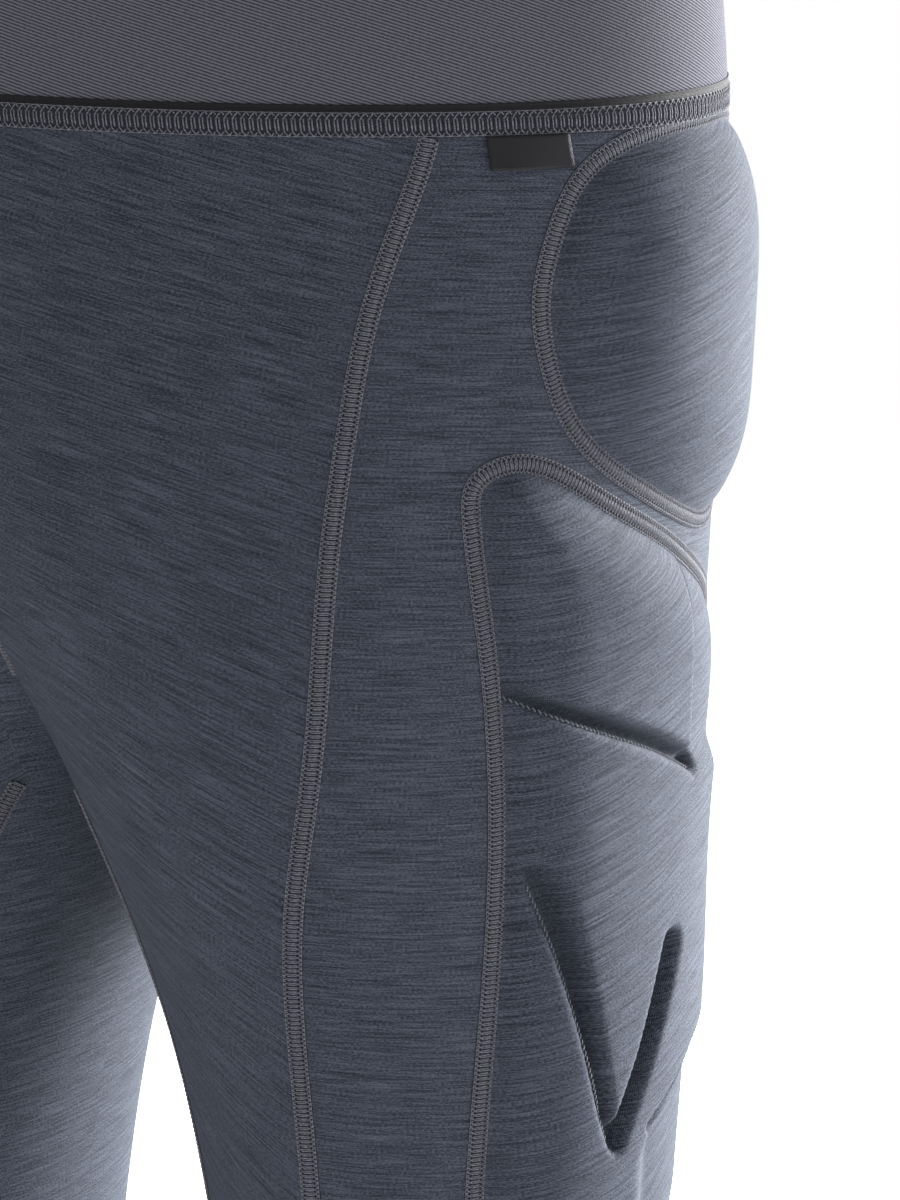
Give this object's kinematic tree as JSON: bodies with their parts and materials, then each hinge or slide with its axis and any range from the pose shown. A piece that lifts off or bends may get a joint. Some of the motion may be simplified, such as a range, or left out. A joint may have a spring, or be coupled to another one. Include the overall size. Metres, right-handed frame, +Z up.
{
  "type": "padded_impact_shorts",
  "caption": "Close-fitting padded impact shorts in grey heather knit, with raised hip, thigh and tailbone pads, flatlock seams and a twill waistband.",
  "frame": {"origin": "centre of the waist opening, at the top edge of the waistband", "axes": "Z runs up the body, X toward the wearer's left hip, Y toward the back"},
  "size_m": [0.3838, 0.2598, 0.5],
  "materials": {
    "impact_foam": "matt open-cell",
    "twill_elastic": "fine diagonal twill",
    "overlock_thread": "matt stitched yarn",
    "gripper_elastic": "soft ribbed",
    "woven_label": "satin woven",
    "heather_jersey": "heather melange knit"
  },
  "bodies": {
    "pelvis": {"care_label": "woven_label", "centre_back_seam": "overlock_thread", "centre_front_seam": "overlock_thread", "crotch_gusset": "heather_jersey", "left_back_seam_upper": "overlock_thread", "left_front_panel": "heather_jersey", "left_front_seam_upper": "overlock_thread", "left_hip_cover": "heather_jersey", "left_hip_cover_seam": "overlock_thread", "left_hip_foam": "impact_foam", "left_seat_panel": "heather_jersey", "left_side_label": "woven_label", "left_side_panel": "heather_jersey", "left_thigh_cover_seam_upper": "overlock_thread", "left_thigh_cover_upper": "heather_jersey", "left_thigh_foam_upper_front": "impact_foam", "left_thigh_foam_upper_rear": "impact_foam", "right_back_seam_upper": "overlock_thread", "right_front_panel": "heather_jersey", "right_front_seam_upper": "overlock_thread", "right_hip_cover": "heather_jersey", "right_hip_cover_seam": "overlock_thread", "right_hip_foam": "impact_foam", "right_seat_panel": "heather_jersey", "right_side_panel": "heather_jersey", "right_thigh_cover_seam_upper": "overlock_thread", "right_thigh_cover_upper": "heather_jersey", "right_thigh_foam_upper_front": "impact_foam", "right_thigh_foam_upper_rear": "impact_foam", "tailbone_cover": "heather_jersey", "tailbone_foam": "impact_foam", "waist_coverstitch": "overlock_thread", "waistband": "twill_elastic"},
    "left_leg": {"left_back_seam_lower": "overlock_thread", "left_front_seam_lower": "overlock_thread", "left_hem_gripper": "gripper_elastic", "left_inseam_seam": "overlock_thread", "left_leg_back_panel": "heather_jersey", "left_leg_front_panel": "heather_jersey", "left_leg_side_panel": "heather_jersey", "left_thigh_cover_lower": "heather_jersey", "left_thigh_cover_seam_lower": "overlock_thread", "left_thigh_foam_low_front": "impact_foam", "left_thigh_foam_low_rear": "impact_foam", "left_thigh_foam_main": "impact_foam"},
    "right_leg": {"right_back_seam_lower": "overlock_thread", "right_front_seam_lower": "overlock_thread", "right_hem_gripper": "gripper_elastic", "right_inseam_seam": "overlock_thread", "right_leg_back_panel": "heather_jersey", "right_leg_front_panel": "heather_jersey", "right_leg_side_panel": "heather_jersey", "right_thigh_cover_lower": "heather_jersey", "right_thigh_cover_seam_lower": "overlock_thread", "right_thigh_foam_low_front": "impact_foam", "right_thigh_foam_low_rear": "impact_foam", "right_thigh_foam_main": "impact_foam"}
  },
  "joints": [
    {"name": "left_hip", "type": "hinge", "parent": "pelvis", "child": "left_leg", "pos_m": [0.09, -0.025, -0.175], "axis": [-1, 0, 0], "range_deg": [-6, 55]},
    {"name": "right_hip", "type": "hinge", "parent": "pelvis", "child": "right_leg", "pos_m": [-0.09, -0.025, -0.175], "axis": [-1, 0, 0], "range_deg": [-6, 55]}
  ]
}
